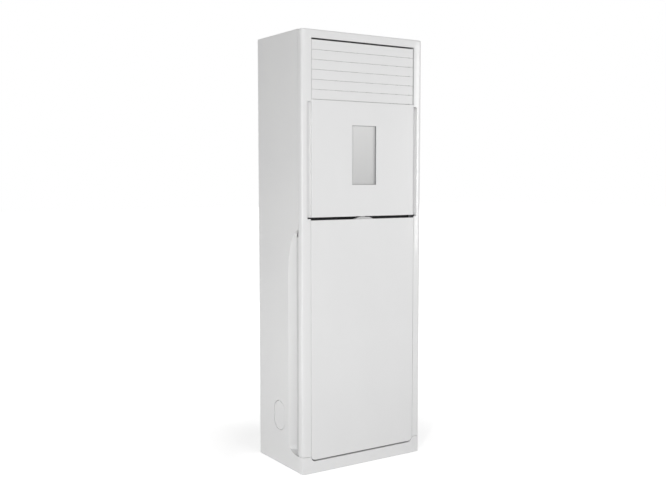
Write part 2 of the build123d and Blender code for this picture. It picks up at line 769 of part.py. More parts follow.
def fan_uprights():
    """Two channels behind the scroll, from the base pan up to the deck."""
    y0 = behind(scroll_front) + scroll_depth + seat
    y1 = inner_back - pan_sheet - seat
    x0, x1 = side_inner - 68.8, side_inner - 28.8
    upright = block(x0, x1, y0, y1, pan_sheet + seat, deck_height - seat)
    upright -= block(x0 + pan_sheet, x1 - pan_sheet, y0 + pan_sheet, y1 + 1, 0, height)
    return both_sides(upright)


# ---- deck, coil and drain ----
gas_radius = 9.5
liquid_radius = 4.76
drain_radius = 10.0
drain_end = 130.0
spigot_length = 30.0
spigot_radius = 10.5


def mid_deck():
    """Sheet between the lower chamber and the coil chamber, open over the scroll's neck."""
    across = side_inner - seat
    y0 = behind(plate_behind)
    deck = block(-across, across, y0, inner_back, deck_height, deck_height + sheet)
    notch = block(half - 44, half, y0 - 1, behind(126), deck_height - 20, deck_height + 2)
    deck += block(-half + 46, half - 46, y0, y0 + sheet, deck_height - 14, deck_height)
    deck -= both_sides(notch)
    scroll_back = behind(scroll_front) + scroll_depth
    deck -= block(neck_left + 4, scroll_end - scroll_wall, behind(scroll_front), scroll_back - scroll_wall,
                  deck_height - 1, deck_height + 2)
    deck -= rod_z(deck_height - 1, deck_height + 2, pipe_x, gas_pipe_y, gas_radius + 2)
    deck -= rod_z(deck_height - 1, deck_height + 2, pipe_x, liquid_pipe_y, liquid_radius + 2)
    deck -= rod_z(deck_height - 1, deck_height + 2, drain_x, drain_y, drain_radius + 1)
    return deck


coil_dy = coil_head[0] - coil_foot[0]
coil_dz = coil_head[1] - coil_foot[1]
coil_length = hypot(coil_dy, coil_dz)
coil_lean = degrees(atan2(coil_dy, coil_dz))


def on_coil(piece):
    """Place a piece drawn round the coil's own middle, its length up Z."""
    middle = ((coil_foot[0] + coil_head[0]) / 2, (coil_foot[1] + coil_head[1]) / 2)
    return Pos(0, *middle) * Rot(-coil_lean, 0, 0) * piece


fin_pitch = 8.0
fin_thick = 3.0
fin_groove = 4.0


def coil_fins():
    """Fin pack: a comb profile on both faces, run up the coil."""
    outer, inner = coil_thickness / 2, coil_thickness / 2 - fin_groove
    count = int(2 * coil_half / fin_pitch)
    start = -count * fin_pitch / 2
    edge = []
    for i in range(count):
        x = start + i * fin_pitch
        edge += [(x, outer), (x + fin_thick, outer), (x + fin_thick, inner), (x + fin_pitch, inner)]
    end = start + count * fin_pitch
    edge += [(end, outer), (end + fin_thick, outer)]
    face = make_face(Polyline(*edge, *[(x, -y) for x, y in reversed(edge)], close=True))
    pack = Pos(-fin_thick / 2, 0, -coil_length / 2) * extrude(face, amount=coil_length, dir=(0, 0, 1))
    return on_coil(pack)


plate_x = coil_half + fin_thick / 2 + seat


def coil_end_plates():
    """Steel end plates with feet that stand on the deck."""
    plate = on_coil(Pos(plate_x + sheet / 2, 0, 0) * Box(sheet, coil_thickness + 10, coil_length + 8))
    foot_y = coil_foot[0]
    foot_low = deck_height + sheet + seat
    foot = block(plate_x, plate_x + sheet, foot_y - 18, foot_y + 18, foot_low, coil_foot[1] + 10)
    return both_sides(plate + foot)


tube_rows = 6
row_gap = 24.0


def u_bend(radius, tube):
    """Half ring of tube that bulges towards +X, its two ends in the plane x = 0."""
    ring = Torus(radius, tube)
    return ring & Pos(radius + tube, 0, 0) * Box(2 * (radius + tube), 4 * (radius + tube), 4 * tube)


def coil_tubes():
    """Return bends on the coil's right end and crossovers on its left, one solid each."""
    step = coil_length / tube_rows
    x = plate_x + sheet + seat
    bends = []
    for i in range(tube_rows):
        z = -coil_length / 2 + step * (i + 0.5)
        bends.append(on_coil(Pos(x, 0, z) * u_bend(row_gap / 2, liquid_radius)))
    for i in range(tube_rows - 1):
        z = -coil_length / 2 + step * (i + 1)
        bends.append(on_coil(Pos(-x, 0, z) * Rot(0, 0, 180) * Rot(90 - degrees(atan2(row_gap, step)), 0, 0)
                             * u_bend(12, liquid_radius)))
    return Compound(children=bends)


def tube_end(level, row):
    """Centre of a tube of the coil, as (y, z): row is -1 in front and 1 behind."""
    along = -coil_length / 2 + coil_length / tube_rows * (level + 0.5)
    across = row * row_gap / 2
    lean = radians(coil_lean)
    y = (coil_foot[0] + coil_head[0]) / 2 + across * cos(lean) + along * sin(lean)
    z = (coil_foot[1] + coil_head[1]) / 2 - across * sin(lean) + along * cos(lean)
    return y, z


def pipe_from_coil(start, y, radius, lower_end):
    """Pipe from a tube on the coil's left end: down, back or forth over the deck, then down to its union."""
    start_y, start_z = start
    turn = deck_height + 28.0
    pipe = rod_x(pipe_x, -plate_x - sheet - seat, start_y, start_z, radius)
    pipe += Pos(pipe_x, start_y, start_z) * Sphere(radius)
    pipe += rod_z(turn, start_z, pipe_x, start_y, radius)
    pipe += Pos(pipe_x, start_y, turn) * Sphere(radius)
    pipe += rod_y(min(start_y, y), max(start_y, y), pipe_x, turn, radius)
    pipe += Pos(pipe_x, y, turn) * Sphere(radius)
    pipe += rod_z(lower_end, turn, pipe_x, y, radius)
    return pipe - rod_z(lower_end - 1, turn - radius, pipe_x, y, radius - 0.9)


union_height = 236.0
gas_union_radius = 13.0
liquid_union_radius = 8.0


def flare_unions():
    """Hexagon unions on the two pipe ends, each with a bare stub that points down."""
    unions = []
    for y, tube, stub in ((gas_pipe_y, gas_radius, gas_union_radius),
                          (liquid_pipe_y, liquid_radius, liquid_union_radius)):
        body = extrude(RegularPolygon(stub + 3, 6), amount=12)
        body += Pos(0, 0, -10) * Cylinder(stub, 20)
        body -= Pos(0, 0, -10) * Cylinder(tube - 1.2, 60)
        unions.append(Pos(pipe_x, y, union_height - 12 - seat) * body)
    return Compound(children=unions)


def drain_pan():
    """Tray under the coil's foot with its outlet spout."""
    wall = 2.0
    z0, z1 = deck_height + sheet + seat, deck_height + 36
    y0, y1 = behind(54), coil_foot[0] + 49.0
    across = coil_half - 6
    inner = across - wall
    pan = block(-across, across, y0, y1, z0, z1)
    pan -= block(-inner, inner, y0 + wall, y1 - wall, z0 + wall, z1 + 1)
    pan += rod_z(deck_height - 14, z0 + 1, drain_x, drain_y, drain_radius)
    pan -= rod_z(deck_height - 20, z0 + wall + 1, drain_x, drain_y, drain_radius - wall)
    return pan


def drain_pipe():
    """Pipe that hangs on the spout and ends in a spigot, low in the lower chamber."""
    top = deck_height - 1.0
    pipe = rod_z(drain_end + spigot_length, top, drain_x, drain_y, drain_radius + 2.3)
    pipe += rod_z(drain_end, drain_end + spigot_length + 1, drain_x, drain_y, spigot_radius)
    pipe -= rod_z(drain_end - 1, top + 1, drain_x, drain_y, drain_radius - 2)
    pipe -= rod_z(deck_height - 14 - seat, top + 1, drain_x, drain_y, drain_radius + seat)
    return pipe


# ---- lining ----
def chamber_foam():
    """Foam boards on the back, sides and top of the coil chamber."""
    rear = inner_back - 0.8
    outer, inner = side_inner - 2.5, side_inner - 20
    low, high = deck_height + sheet + seat, height - 15
    foam = block(-outer, outer, behind(118), rear, low, high)
    foam -= block(-inner, inner, behind(117), rear - 18, low - 1, high - 18)
    for x in (-bracket_spacing / 2, bracket_spacing / 2):
        foam -= rod_y(rear - 14, rear + 1, x, bracket_height, 2 * bracket_radius)
    return foam


# ---- electrical box ----
box_low = deck_height - 202.0
box_front = 45.0
box_back = 125.0
box_half = 200.0


def electrical_box():
    top = deck_height - seat
    box = block(-box_half, box_half, behind(box_front), behind(box_back), box_low, top)
    box -= block(-box_half + sheet, box_half - sheet, behind(box_front) - 1, behind(box_back) - sheet,
                 box_low + sheet, top - sheet)
    for x in (-40, 170):
        for z in (box_low + 58, box_low + 168):
            box += rod_y(behind(112), behind(box_back) - sheet / 2, x, z, 3)
    box -= rod_z(top - 3, top + 3, 150, behind(80), 12)
    return box


def electrical_box_cover():
    y1 = behind(box_front) - seat
    cover = block(-box_half, box_half, y1 - sheet, y1, box_low, deck_height - 16)
    for i in range(7):
        z = box_low + 38 + 12 * i
        slot = soft_rectangle(90, 170, z, z + 4, 1.5, 1.5)
        cover -= front_prism(slot, y1 - 5, y1 + 5)
    return cover


def control_board():
    y1 = behind(112) - seat
    low = box_low + 38
    board = block(-60, 190, y1 - 1.6, y1, low, low + 150)
    for x, rise, w, h, t in ((-35, 115, 34, 28, 18), (10, 120, 22, 22, 16), (40, 120, 22, 22, 16),
                             (120, 80, 90, 60, 26), (0, 50, 60, 24, 14), (60, 35, 40, 40, 4)):
        z = low + rise
        board += block(x - w / 2, x + w / 2, y1 - 1.6 - t, y1 - 1.6, z - h / 2, z + h / 2)
    return board


def terminal_block():
    y1 = behind(box_back) - sheet - seat
    x0, z0 = 15.0 - box_half, box_low + 18
    strip = block(x0, x0 + 100, y1 - 14, y1, z0, z0 + 34)
    for i in range(6):
        x = x0 + i * 19.6
        strip += block(x, x + 2, y1 - 24, y1 - 13, z0, z0 + 34)
    return strip


def fan_capacitor():
    y1 = behind(box_back) - sheet - seat
    low = box_low + 88
    can = rod_z(low, low + 72, -130, y1 - 20, 20)
    for x in (-137, -123):
        can += block(x - 3, x + 3, y1 - 20.4, y1 - 19.6, low + 71, low + 84)
    return can


# ---- outlet duct, louvers and vanes ----
duct_reach = 112.0
duct_top = outlet_top + 0.7
louver_end = opening_half - 2.7
louver_pin = 3.0
vane_pin = 3.0
louver_levels = [outlet_bottom + louver_pitch * (louver_count - i - 0.5) for i in range(louver_count)]
drive_height = louver_levels[3] + louver_pitch / 2
crank_y = crank_length * cos(radians(crank_rest))
crank_z = crank_length * sin(radians(crank_rest))
duct_side = opening_half - duct_wall + seat


def vane_x(i):
    return (i - (vane_count - 1) / 2) * vane_pitch


def outlet_duct():
    """Plastic duct behind the louvers; its walls hold the louver pins and the vane pins."""
    outer = duct_side + duct_wall
    y0, y1 = behind(duct_front), behind(duct_reach)
    duct = block(-outer, outer, y0, y1, duct_floor - duct_wall, duct_top + duct_wall)
    duct -= block(-duct_side, duct_side, y0 - 1, y1 + 1, duct_floor, duct_top)
    for z in louver_levels:
        duct -= rod_x(-outer - 1, outer + 1, behind(louver_pivot), z, louver_pin + pin_play)
    duct -= rod_x(0, outer + 1, behind(louver_pivot + drive_offset), drive_height, 4.2)
    for i in range(vane_count):
        duct -= rod_z(duct_floor - duct_wall - 1, duct_top + duct_wall + 1, vane_x(i), behind(vane_pivot),
                      vane_pin + pin_play)
    return duct


ear_thick = 2.0
ear_x = duct_side - 26.6
link_x = ear_x + ear_thick + 0.7
link_thick = 2.4
link_half = 3.5           # half the width of the link and of the ears
crank_pin = 1.9
link_play = 0.8           # clearance between the link and what swings past it


def arm(x0, x1, y, z, radius):
    """Flat arm from a pivot to its crank pin."""
    edge_y, edge_z = -crank_z / crank_length * radius, crank_y / crank_length * radius
    corners = [(y + edge_y, z + edge_z), (y + crank_y + edge_y, z + crank_z + edge_z),
               (y + crank_y - edge_y, z + crank_z - edge_z), (y - edge_y, z - edge_z)]
    bar = side_prism(make_face(Polyline(*corners, close=True)), x0, x1)
    return bar + rod_x(x0, x1, y + crank_y, z + crank_z, radius) + rod_x(x0, x1, y, z, radius)


def link_relief(y, z):
    """Notch in a blade's lower edge that the link passes when the louvers are fully open."""
    open_crank = radians(crank_rest + louver_travel)
    room = crank_length * cos(open_crank) - link_half - link_play
    tall = louver_chord / 2
    slot = block(link_x - link_play, link_x + link_thick + link_play, room, room + tall, -tall, tall)
    return Pos(0, y, z) * Rot(-louver_travel, 0, 0) * slot


def louver(z):
    """Outlet blade: flat face, bowed back, end pins and the ear for the link."""
    y, reach = behind(louver_pivot), louver_chord / 2
    face_y, edge_y, crown_y = y - 5.0, y - 2.3, y + 4.2
    edges = [
        Line((face_y, z - reach), (face_y, z + reach)),
        Line((face_y, z + reach), (edge_y, z + reach)),
        ThreePointArc((edge_y, z + reach), (crown_y, z), (edge_y, z - reach)),
        Line((edge_y, z - reach), (face_y, z - reach)),
    ]
    blade = side_prism(make_face(edges), -louver_end + 0.5, louver_end - 0.5)
    pin_end = duct_side + duct_wall - 0.2
    blade += rod_x(-pin_end, pin_end, y, z, louver_pin)
    blade -= link_relief(y, z)
    blade += arm(ear_x, ear_x + ear_thick, y, z, link_half)
    return blade + rod_x(ear_x + 1, link_x + link_thick + 0.3, y + crank_y, z + crank_z, crank_pin)


def link_hole(y, z):
    return rod_x(link_x - 1, link_x + link_thick + 1, y, z, crank_pin + pin_play)


def louver_link():
    """Bar that joins all louver ears, with a foot for the drive crank."""
    y = behind(louver_pivot) + crank_y
    top, bottom = louver_levels[0] + crank_z, louver_levels[-1] + crank_z
    x0, x1 = link_x, link_x + link_thick
    bar_slot = SlotOverall(top - bottom + 2 * link_half, 2 * link_half, rotation=90)
    bar = side_prism(Pos(y, (top + bottom) / 2) * bar_slot, x0, x1)
    z = drive_height + crank_z
    foot_slot = SlotOverall(drive_offset + 2 * link_half, 2 * link_half)
    foot = side_prism(Pos(y + drive_offset / 2, z) * foot_slot, x0, x1)
    link = bar + foot
    for level in louver_levels:
        link -= link_hole(y, level + crank_z)
    return link - link_hole(y + drive_offset, z)


motor_can = 14.0


def louver_crank():
    """Drive crank on the louver motor's shaft, parallel to the louver ears."""
    y, z = behind(louver_pivot + drive_offset), drive_height
    x0 = link_x + link_thick + link_play
    crank = arm(x0, x0 + 3, y, z, link_half + 1)
    crank += rod_x(x0 + 1, duct_side + duct_wall + 6, y, z, 3.2)
    return crank + rod_x(link_x, x0 + 1, y + crank_y, z + crank_z, crank_pin)


def louver_motor():
    """Geared stepper outside the duct's right wall."""
    y, z = behind(louver_pivot + drive_offset), drive_height
    x0 = duct_side + duct_wall + seat
    motor = rod_x(x0, x0 + 19, y, z, motor_can)
    motor += block(x0, x0 + 1, y - 4, y + 4, z - 21, z + 21)
    motor += block(x0 + 2, x0 + 17, y + 10, y + 17, z - 8, z + 8)
    return motor - rod_x(x0 - 1, x0 + 8, y, z, 3.2 + seat)


vane_low = duct_floor + 12.6
vane_high = duct_top - 3.0


def vane(i):
    """Upright vane: tapered blade, pins at both ends and a crank pin under it."""
    x, y = vane_x(i), behind(vane_pivot)
    nose, tail = y - vane_chord / 2, y + vane_chord / 2
    profile = [(x - 0.7, nose), (x - 1.5, y), (x - 0.9, tail), (x + 0.9, tail), (x + 1.5, y), (x + 0.7, nose)]
    blade = plan_prism(profile, vane_low, vane_high)
    blade += rod_z(duct_floor - duct_wall + 0.2, duct_top + duct_wall - 0.2, x, y, vane_pin)
    return blade + rod_z(vane_low - 6.5, vane_low + 1, x, y + vane_crank, 2.0)


def vane_link():
    """Bar under the vanes that turns them together."""
    y = behind(vane_pivot) + vane_crank
    z0, z1 = vane_low - 5.4, vane_low - 2.4
    length = (vane_count - 1) * vane_pitch + 10
    bar = Pos(0, y, z0) * extrude(SlotOverall(length, 9), amount=z1 - z0, dir=(0, 0, 1))
    for i in range(vane_count):
        bar -= rod_z(z0 - 1, z1 + 1, vane_x(i), y, 2.0 + pin_play)
    return bar


def vane_motor():
    """Geared stepper on the duct's roof, over the last vane."""
    x, y = vane_x(vane_count - 1), behind(vane_pivot)
    z0 = duct_top + duct_wall + seat
    motor = rod_z(z0, z0 + 15, x, y, motor_can)
    motor += block(x - 21, x + 21, y - 4, y + 4, z0, z0 + 1)
    return motor + block(x - 8, x + 8, y + 10, y + 17, z0 + 2, z0 + 13)


def build():
    os.makedirs("parts", exist_ok=True)
    right_panel, right_grille, right_filter = side_panel(), intake_grille(), air_filter()
    write("base_pan", base_pan())
    write("base_skirt", base_skirt())
    write("right_side_panel", right_panel)
    write("left_side_panel", mirror(right_panel, Plane.YZ))
    write("back_panel", back_panel())
    write("top_cover", top_cover())
    write("cabinet_screws", cabinet_screws())
    write("cable_grommet", cable_grommet())
    write("front_frame", front_frame())
    write("display_panel", display_panel())
    write("display_window", display_window())
    write("display_box", display_box())
    write("display_board", display_board())
    write("chamber_front_plate", chamber_front_plate())
    write("lower_panel", lower_panel())
    write("panel_latch", panel_latch())
    write("latch_housing", latch_housing())
    write("right_intake_grille", right_grille)
    write("left_intake_grille", mirror(right_grille, Plane.YZ))
    write("right_filter", right_filter)
    write("left_filter", mirror(right_filter, Plane.YZ))
    write("scroll_housing", scroll_housing())
    write("inlet_ring", inlet_ring())
    write("fan_wheel", fan_wheel())
    write("fan_motor", fan_motor())
    write("motor_mount", motor_mount())
    write("fan_uprights", fan_uprights())
    write("mid_deck", mid_deck())
    write("coil_fins", coil_fins())
    write("coil_end_plates", coil_end_plates())
    write("coil_tubes", coil_tubes())
    write("drain_pan", drain_pan())
    write("drain_pipe", drain_pipe())
    write("gas_pipe", pipe_from_coil(tube_end(0, -1), gas_pipe_y, gas_radius, union_height))
    last = tube_rows - 1
    write("liquid_pipe", pipe_from_coil(tube_end(last, 1), liquid_pipe_y, liquid_radius, union_height))
    write("flare_unions", flare_unions())
    write("chamber_foam", chamber_foam())
    write("electrical_box", electrical_box())
    write("electrical_box_cover", electrical_box_cover())
    write("control_board", control_board())
    write("terminal_block", terminal_block())
    write("fan_capacitor", fan_capacitor())
    write("outlet_duct", outlet_duct())
    write("louver_motor", louver_motor())
    write("vane_motor", vane_motor())
    write("louver_link", louver_link())
    write("louver_crank", louver_crank())
    write("vane_link", vane_link())
    for i, z in enumerate(louver_levels):
        write(f"louver_{i + 1}", louver(z))
    for i in range(vane_count):
        write(f"vane_{i + 1}", vane(i))


build()
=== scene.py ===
import json
import math
import bmesh
import bpy
from mathutils import Matrix, Vector

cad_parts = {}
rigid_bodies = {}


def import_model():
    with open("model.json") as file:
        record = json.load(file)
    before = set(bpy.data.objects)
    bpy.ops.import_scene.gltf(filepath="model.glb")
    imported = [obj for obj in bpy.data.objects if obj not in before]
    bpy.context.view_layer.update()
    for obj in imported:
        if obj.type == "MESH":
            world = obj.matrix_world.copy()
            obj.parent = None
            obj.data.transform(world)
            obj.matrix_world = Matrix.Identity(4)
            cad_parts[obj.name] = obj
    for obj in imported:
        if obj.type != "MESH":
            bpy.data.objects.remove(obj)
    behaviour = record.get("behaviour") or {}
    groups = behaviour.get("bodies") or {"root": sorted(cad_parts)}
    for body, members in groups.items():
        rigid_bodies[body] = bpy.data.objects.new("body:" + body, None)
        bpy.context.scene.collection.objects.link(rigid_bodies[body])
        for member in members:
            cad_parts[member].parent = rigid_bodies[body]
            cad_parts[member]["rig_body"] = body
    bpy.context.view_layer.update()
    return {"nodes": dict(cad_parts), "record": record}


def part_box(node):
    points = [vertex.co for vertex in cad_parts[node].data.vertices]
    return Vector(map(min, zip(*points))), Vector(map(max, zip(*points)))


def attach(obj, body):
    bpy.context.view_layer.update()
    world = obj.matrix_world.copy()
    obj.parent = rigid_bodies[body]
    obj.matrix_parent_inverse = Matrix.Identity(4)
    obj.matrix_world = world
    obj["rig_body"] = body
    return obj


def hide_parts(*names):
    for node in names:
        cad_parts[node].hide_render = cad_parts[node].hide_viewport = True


# Floor standing air conditioner: finishes, fine pieces, studio and camera.
# Metres, front towards -Y.

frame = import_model()
nodes = frame["nodes"]

# ---- fine sizes ----
moulding_edge = 0.0006        # rounding of moulded edges
sheet_edge = 0.0003           # rounding of folded and cut sheet
smooth_limit = math.radians(32)
edge_steps = 2                # facets across a rounded edge
merge_reach = 2e-6            # points closer than this count as one
fin_spacing = 0.0021
fin_thickness = 0.00035
fin_ripple = 0.0003
fin_strips = 12               # strips across one fin, each bent the other way
thread_spacing = 0.0026
thread_width = 0.0005
thread_edge = 0.001           # from the filter's outline to the ends of the threads
filter_border = 0.005
filter_lap = 0.0002           # how far the level borders run into the upright ones
filter_frame_depth = 0.005
filter_edge = 0.0004
filter_bars = 9
bar_height = 0.0024
bar_sink = 0.0008             # from the frame's face to the bars
bar_inset = 0.001             # from the filter's outline to the bars' ends
grip_width = 0.028
grip_low, grip_high = 0.008, 0.004  # under the filter's upper edge
screw_count = 6               # in each of the two columns
screw_steps = 24
screw_head = 0.0040           # radius
screw_crown = 0.0022          # radius of the head's flat top
screw_shoulder = (0.0034, 0.0004)  # radius and depth between crown and rim
screw_rim = 0.0012            # from the head's top to its widest part
screw_seat = 0.0023           # from the head's top to its underside
screw_shank = 0.0019          # radius
screw_length = 0.0056
cross_width = 0.0007
cross_reach = 0.0019          # half the length of the cross recess
cross_depth = 0.0012
cross_clear = 0.001           # how far its cutter stands over the head
# the tape below is painted shade: a dark strip behind the finger gap
tape_thickness = 0.0009
tape_edge = 0.0003
tape_side = 0.008             # from the lower panel's side to the tape's end
tape_drop = 0.008             # under the lower panel's upper edge
tape_rise = 0.0028            # over the middle panel's lower edge
# the lining below is painted shade on the walls of the window's recess
shade_lining_thickness = 0.0006
shade_lining_inset = 0.0042         # from the middle panel's face to the front edge of the painted shade lining
shade_lining_edge = 0.0001


# ---- short calls for node trees ----
class Tree:
    """Adds and links nodes in a shader or geometry tree."""

    def __init__(self, tree):
        self.tree = tree

    def add(self, kind, values=None, **settings):
        node = self.tree.nodes.new(kind)
        for key, value in settings.items():
            setattr(node, key, value)
        for key, value in (values or {}).items():
            if isinstance(value, bpy.types.NodeSocket):
                self.tree.links.new(value, node.inputs[key])
            else:
                node.inputs[key].default_value = value
        return node

    def link(self, output, socket):
        self.tree.links.new(output, socket)


# ---- parts of a finish ----
class Finish(Tree):
    """A material with one Principled shader, patterned on Object coordinates."""

    def __init__(self, name, colour, roughness, metallic=0.0, **sockets):
        self.material = bpy.data.materials.new(name)
        self.material.use_nodes = True
        super().__init__(self.material.node_tree)
        self.shader = self.tree.nodes["Principled BSDF"]
        self.colour = (*colour, 1.0)
        self.shader.inputs["Base Color"].default_value = self.colour
        self.shader.inputs["Roughness"].default_value = roughness
        self.shader.inputs["Metallic"].default_value = metallic
        for key, value in sockets.items():
            self.shader.inputs[key.replace("_", " ")].default_value = value
        self.place = self.add("ShaderNodeTexCoord").outputs["Object"]
        self.normal = None

    def stretched(self, x, y, z):
        """The piece's own coordinates, scaled along each axis."""
        return self.add("ShaderNodeMapping", {"Vector": self.place, "Scale": (x, y, z)}).outputs[0]

    def noise(self, size, detail=3.0, place=None, distortion=0.0):
        """Noise whose lumps are about this size in metres."""
        values = {"Vector": place or self.place, "Scale": 1 / size, "Detail": detail,
                  "Distortion": distortion}
        return self.add("ShaderNodeTexNoise", values).outputs["Fac"]

    def cells(self, size, feature="F1", output="Distance", place=None):
        """Cells of about this size in metres."""
        values = {"Vector": place or self.place, "Scale": 1 / size}
        return self.add("ShaderNodeTexVoronoi", values, feature=feature).outputs[output]

    def spread(self, value, low, high, start=0.3, end=0.7):
        """Maps a value from start..end to low..high."""
        values = {"Value": value, "From Min": start, "From Max": end, "To Min": low, "To Max": high}
        return self.add("ShaderNodeMapRange", values).outputs["Result"]

    def tint(self, share, other, base=None):
        """Mixes the colour towards another one by a share."""
        values = {0: share, 6: base or self.colour, 7: (*other, 1.0)}
        return self.add("ShaderNodeMix", values, data_type="RGBA").outputs[2]

    def paint(self, colour):
        """Sets the colour by a pattern."""
        self.link(colour, self.shader.inputs["Base Color"])

    def gloss(self, value):
        """Sets the roughness by a pattern."""
        self.link(value, self.shader.inputs["Roughness"])

    def raise_by(self, height, metres):
        """Adds a height pattern to the surface's bump, in metres."""
        values = {"Height": height, "Distance": metres, "Strength": 1.0}
        if self.normal is not None:
            values["Normal"] = self.normal
        self.normal = self.add("ShaderNodeBump", values).outputs["Normal"]
        self.link(self.normal, self.shader.inputs["Normal"])


def powder_coat():
    """White powder coated sheet: fine orange peel over a slightly wavy sheet."""
    f = Finish("white powder coat", (0.79, 0.79, 0.79), 0.38)
    f.paint(f.tint(f.spread(f.noise(0.35), 0, 1), (0.815, 0.815, 0.81)))
    f.gloss(f.spread(f.noise(0.02), 0.34, 0.42))
    f.raise_by(f.noise(0.42, 1.0), 0.0008)
    f.raise_by(f.noise(0.0022, 2.0), 0.00003)
    f.raise_by(f.noise(0.0006, 1.0), 0.000006)
    return f.material


def moulded_white():
    """White semi-gloss moulding: spark eroded grain and faint flow of the plastic."""
    colour = (0.815, 0.815, 0.815)
    f = Finish("white moulding", colour, 0.36, Coat_Weight=0.35, Coat_Roughness=0.1)
    flow = f.noise(0.18, 2.0, f.stretched(1, 1, 0.4), 0.6)
    f.paint(f.tint(f.spread(flow, 0, 1), tuple(c * 0.985 for c in colour)))
    f.gloss(f.spread(f.noise(0.012), 0.29, 0.37))
    f.raise_by(f.noise(0.3, 1.0), 0.0004)
    f.raise_by(f.noise(0.0009, 2.0), 0.00001)
    return f.material


def window_lens():
    """Smooth grey lens with a painted reflection: its colour darkens towards its foot."""
    low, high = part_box("display_window")
    f = Finish("window lens", (0.735, 0.735, 0.73), 0.12, Coat_Weight=0.6, Coat_Roughness=0.04)
    height = f.add("ShaderNodeSeparateXYZ", {"Vector": f.place}).outputs["Z"]
    # painted reflection: darker grey at the lens's foot, fading to the base grey at its top
    painted_reflection_fade = f.spread(height, 1.0, 0.0, low.z, high.z)
    f.paint(f.tint(painted_reflection_fade, (0.60, 0.60, 0.597)))
    f.gloss(f.spread(f.noise(0.03), 0.10, 0.16))
    f.raise_by(f.noise(0.08, 1.0), 0.0001)
    return f.material


def latch_plastic():
    """Grey grained plastic of the finger tab."""
    f = Finish("latch plastic", (0.55, 0.55, 0.55), 0.42)
    f.paint(f.tint(f.spread(f.noise(0.01), 0, 1), (0.52, 0.52, 0.52)))
    f.gloss(f.spread(f.noise(0.004), 0.38, 0.48))
    f.raise_by(f.noise(0.0007, 2.0), 0.00002)
    return f.material


def zinc_sheet():
    """Hot dip zinc: spangle with its own brightness in each crystal, and rolling marks."""
    f = Finish("zinc sheet", (0.60, 0.61, 0.63), 0.42, 0.9)
    crystal = f.cells(0.012, output="Color", place=f.stretched(1, 1, 0.8))
    grey = f.add("ShaderNodeRGBToBW", {"Color": crystal}).outputs[0]
    f.paint(f.tint(f.spread(grey, 0, 1, 0.05, 0.95), (0.47, 0.48, 0.50)))
    f.gloss(f.spread(grey, 0.36, 0.50, 0.05, 0.95))
    f.raise_by(f.noise(0.0012, 2.0, f.stretched(1, 1, 0.03)), 0.00001)
    f.raise_by(f.cells(0.012, "DISTANCE_TO_EDGE"), 0.00004)
    return f.material


def fin_aluminium():
    """Thin fins: bright aluminium with a pale blue coating in faint clouds."""
    f = Finish("fin aluminium", (0.66, 0.70, 0.74), 0.35, 0.85)
    f.paint(f.tint(f.spread(f.noise(0.03), 0, 1), (0.56, 0.62, 0.68)))
    f.gloss(f.spread(f.noise(0.004, 2.0, f.stretched(1, 1, 0.1)), 0.28, 0.46))
    f.raise_by(f.noise(0.0016), 0.00004)
    return f.material


def copper_tube():
    """Drawn copper with darker oxide clouds and fine draw lines."""
    f = Finish("copper tube", (0.66, 0.33, 0.20), 0.32, 1.0)
    cloud = f.noise(0.03, 5.0, distortion=0.8)
    f.paint(f.tint(f.spread(cloud, 0, 1, 0.42, 0.75), (0.36, 0.17, 0.10)))
    f.gloss(f.spread(cloud, 0.26, 0.48))
    f.raise_by(f.noise(0.0014, 2.0, f.stretched(1, 1, 0.04)), 0.00002)
    return f.material


def turned_brass():
    """Brass with turning marks round its upright axis."""
    f = Finish("turned brass", (0.70, 0.53, 0.25), 0.3, 1.0)
    f.paint(f.tint(f.spread(f.noise(0.008), 0, 1), (0.60, 0.43, 0.19)))
    f.gloss(f.spread(f.noise(0.003), 0.24, 0.4))
    f.raise_by(f.noise(0.0007, 1.0, f.stretched(0.05, 0.05, 1)), 0.00003)
    return f.material


def plain_plastic(name, colour, other, roughness, grain=0.0008):
    """Matt moulded plastic with grain and faint clouds."""
    f = Finish(name, colour, roughness)
    f.paint(f.tint(f.spread(f.noise(0.06), 0, 1), other))
    f.gloss(f.spread(f.noise(0.01), roughness - 0.05, roughness + 0.06))
    f.raise_by(f.noise(grain, 2.0), 0.00002)
    return f.material


def closed_cell_foam():
    """Dark foam board: cut cells of two sizes."""
    f = Finish("closed cell foam", (0.055, 0.055, 0.058), 0.85)
    pores = f.cells(0.0022)
    f.paint(f.tint(f.spread(pores, 0, 1, 0.1, 0.7), (0.02, 0.02, 0.021)))
    f.gloss(f.spread(pores, 0.78, 0.95))
    f.raise_by(pores, 0.0004)
    f.raise_by(f.noise(0.03), 0.001)
    return f.material


def circuit_board():
    """Green solder mask over brighter tracks, with dark clouds for what stands on the board."""
    f = Finish("circuit board", (0.02, 0.13, 0.05), 0.35)
    bricks = {"Vector": f.place, "Scale": 55.0, "Mortar Size": 0.03,
              "Color1": (0.02, 0.13, 0.05, 1), "Color2": (0.018, 0.11, 0.045, 1),
              "Mortar": (0.03, 0.20, 0.07, 1)}
    tracks = f.add("ShaderNodeTexBrick", bricks).outputs["Color"]
    f.paint(f.tint(f.spread(f.noise(0.02), 0, 0.5), (0.03, 0.03, 0.035), tracks))
    f.gloss(f.spread(f.noise(0.006), 0.28, 0.45))
    f.raise_by(f.noise(0.003), 0.00008)
    return f.material


def motor_paint():
    """Dark grey paint with a hammered surface."""
    f = Finish("motor paint", (0.20, 0.205, 0.215), 0.42, 0.2)
    f.paint(f.tint(f.spread(f.noise(0.05), 0, 1), (0.17, 0.175, 0.18)))
    f.gloss(f.spread(f.noise(0.01), 0.36, 0.5))
    f.raise_by(f.cells(0.003, "SMOOTH_F1"), 0.00008)
    return f.material


def black_rubber():
    """Matt black rubber."""
    f = Finish("black rubber", (0.03, 0.03, 0.031), 0.6)
    f.paint(f.tint(f.spread(f.noise(0.006), 0, 1), (0.045, 0.045, 0.044)))
    f.gloss(f.spread(f.noise(0.003), 0.52, 0.72))
    f.raise_by(f.noise(0.0006), 0.00003)
    return f.material


